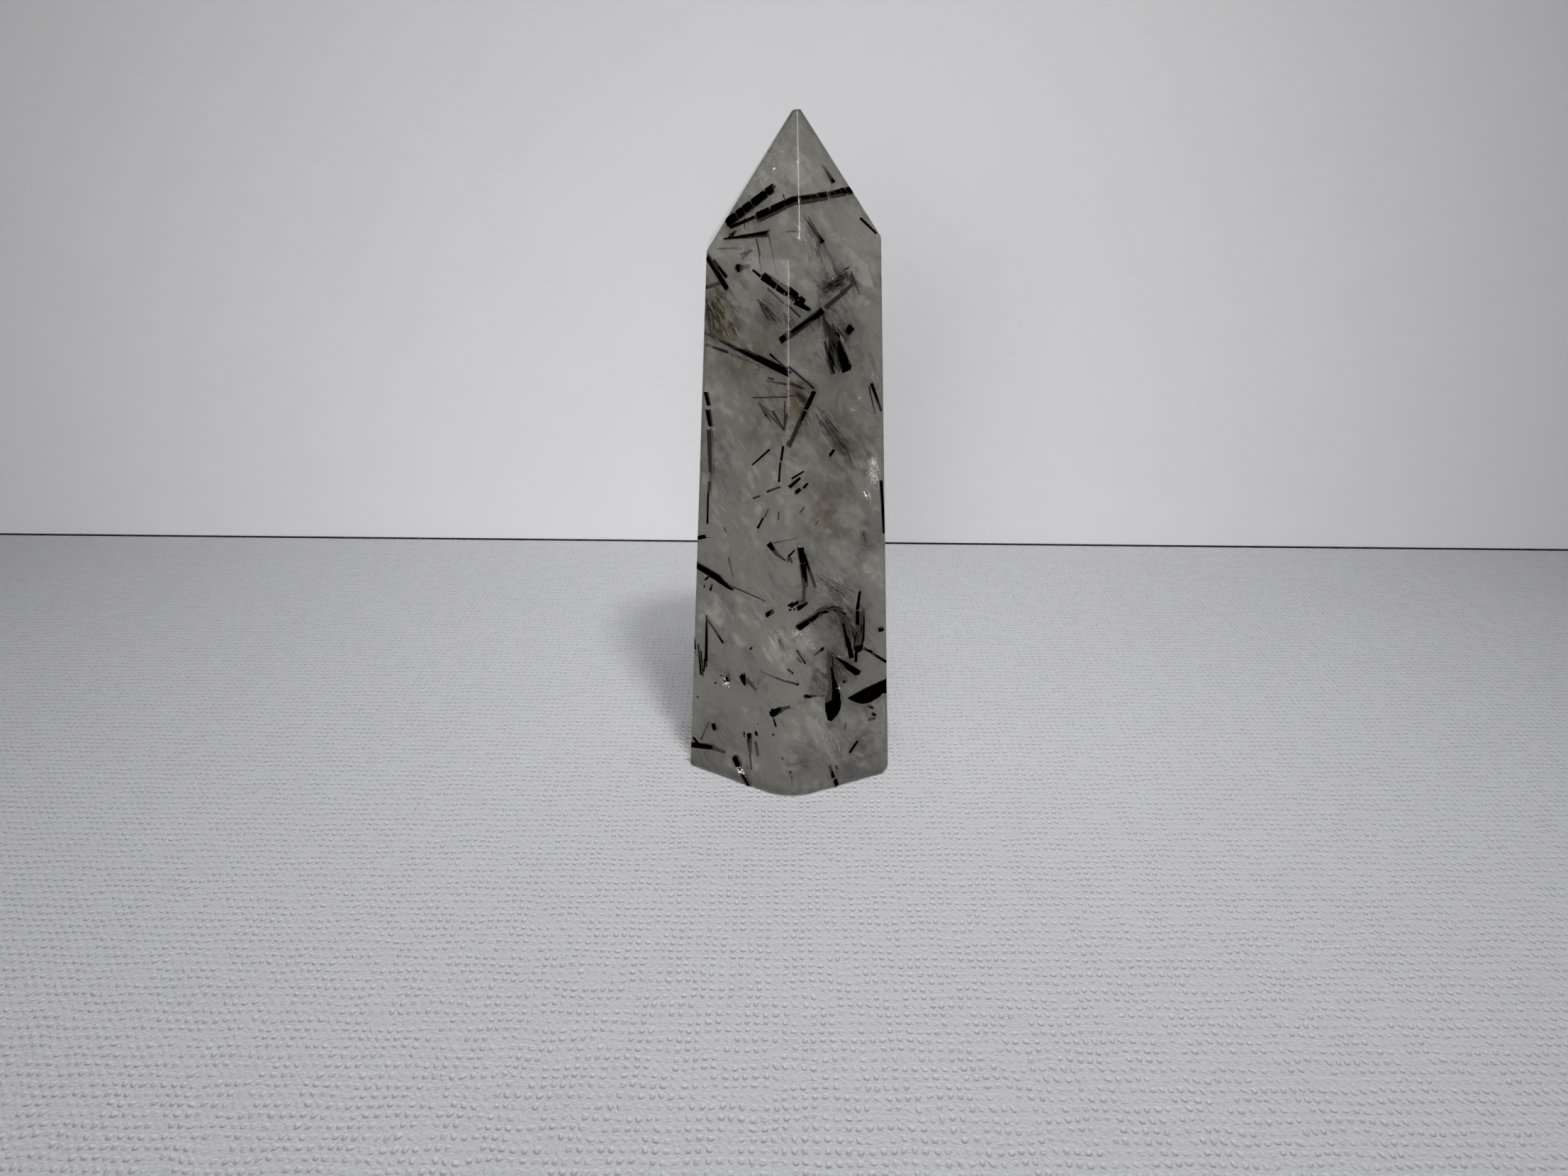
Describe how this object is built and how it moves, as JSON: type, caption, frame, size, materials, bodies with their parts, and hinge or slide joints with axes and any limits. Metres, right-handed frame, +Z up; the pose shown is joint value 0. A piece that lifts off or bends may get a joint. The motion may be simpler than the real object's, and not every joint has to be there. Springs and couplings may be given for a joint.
{
  "type": "tourmalinated quartz tower",
  "caption": "Polished quartz tower: a tapered faceted shaft of smoky, milky quartz with a faceted point and dark tourmaline needles inside, standing on its flat foot.",
  "frame": {"origin": "middle of the foot's outline, on the surface that the tower stands on", "axes": "+Z up along the tower, -Y out through the front edge of the shaft, +X to the right seen from the front"},
  "size_m": [0.0306, 0.0325, 0.0903],
  "materials": {
    "quartz": "polished, smoky and milky, see-through near the surface",
    "tourmaline": "black glassy needles with lengthwise grooves"
  },
  "bodies": {
    "root": {"quartz_tower": "quartz"}
  },
  "joints": []
}
